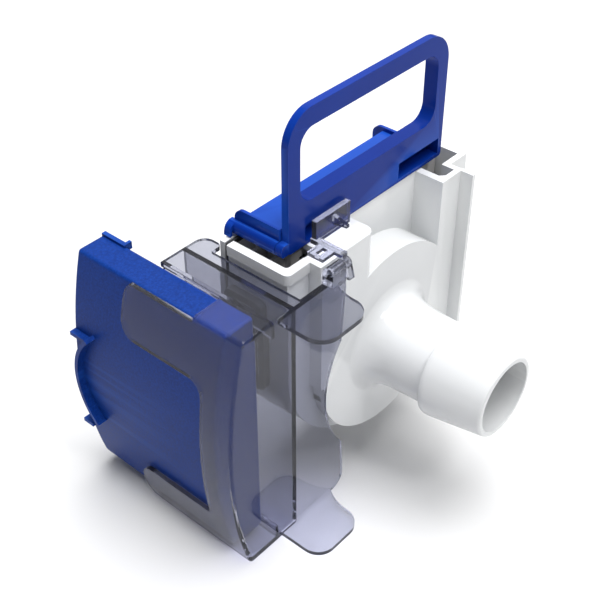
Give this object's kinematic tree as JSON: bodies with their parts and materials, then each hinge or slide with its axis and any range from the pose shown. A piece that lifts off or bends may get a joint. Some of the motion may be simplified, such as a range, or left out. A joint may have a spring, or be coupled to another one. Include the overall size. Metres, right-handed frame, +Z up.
{
  "type": "pump water filter",
  "caption": "White slot housing with a hose barb, a lift-out filter cassette with a blue bail handle, and a clear debris bin with a sliding blue door and a swinging latch.",
  "frame": {"origin": "centre of the hose barb's ridge, on the barb's axis", "axes": "-Y the way the hose barb points, +Z up, the debris bin at the -X end"},
  "size_m": [0.1545, 0.1453, 0.1814],
  "materials": {
    "white_plastic": "gloss moulded",
    "blue_gloss": "gloss moulded",
    "grey_plastic": "satin moulded",
    "blue_grain": "fine spark-eroded grain",
    "clear_plastic": "smoky clear, polished",
    "rubber": "matt",
    "steel": "satin",
    "screen": "woven",
    "filter_paper": "matt pleated"
  },
  "bodies": {
    "housing": {"filter_housing": "white_plastic", "rear_cover": "white_plastic", "rear_cover_seal": "rubber", "inlet_port_gasket": "rubber", "outlet_grating": "white_plastic", "rear_cover_screw_1": "steel", "rear_cover_screw_2": "steel", "rear_cover_screw_3": "steel", "rear_cover_screw_4": "steel", "rear_cover_screw_5": "steel", "rear_cover_screw_6": "steel"},
    "cassette": {"bail_handle": "blue_gloss", "cassette_cap": "blue_gloss", "cassette_cap_seal": "rubber", "cassette_basket": "grey_plastic", "filter_screen": "screen", "screen_retainer": "grey_plastic", "filter_pleats": "filter_paper", "pleat_end_lower": "white_plastic", "pleat_end_upper": "white_plastic"},
    "debris_bin": {"clear_bin": "clear_plastic", "latch_pin": "steel"},
    "latch": {"cover_latch": "clear_plastic"},
    "door": {"bin_door": "blue_grain", "door_seal": "rubber"}
  },
  "joints": [
    {"name": "cassette_slide", "type": "slide", "parent": "housing", "child": "cassette", "axis": [0, 0, 1], "range_m": [0, 0.1]},
    {"name": "bin_slide", "type": "slide", "parent": "housing", "child": "debris_bin", "axis": [-1, 0, 0], "range_m": [0, 0.045]},
    {"name": "latch_hinge", "type": "hinge", "parent": "debris_bin", "child": "latch", "pos_m": [-0.0344, 0.0281, 0.0586], "axis": [1, 0, 0], "range_deg": [0, 20]},
    {"name": "door_slide", "type": "slide", "parent": "debris_bin", "child": "door", "axis": [0, 1, 0], "range_m": [-0.006, 0.042]}
  ]
}
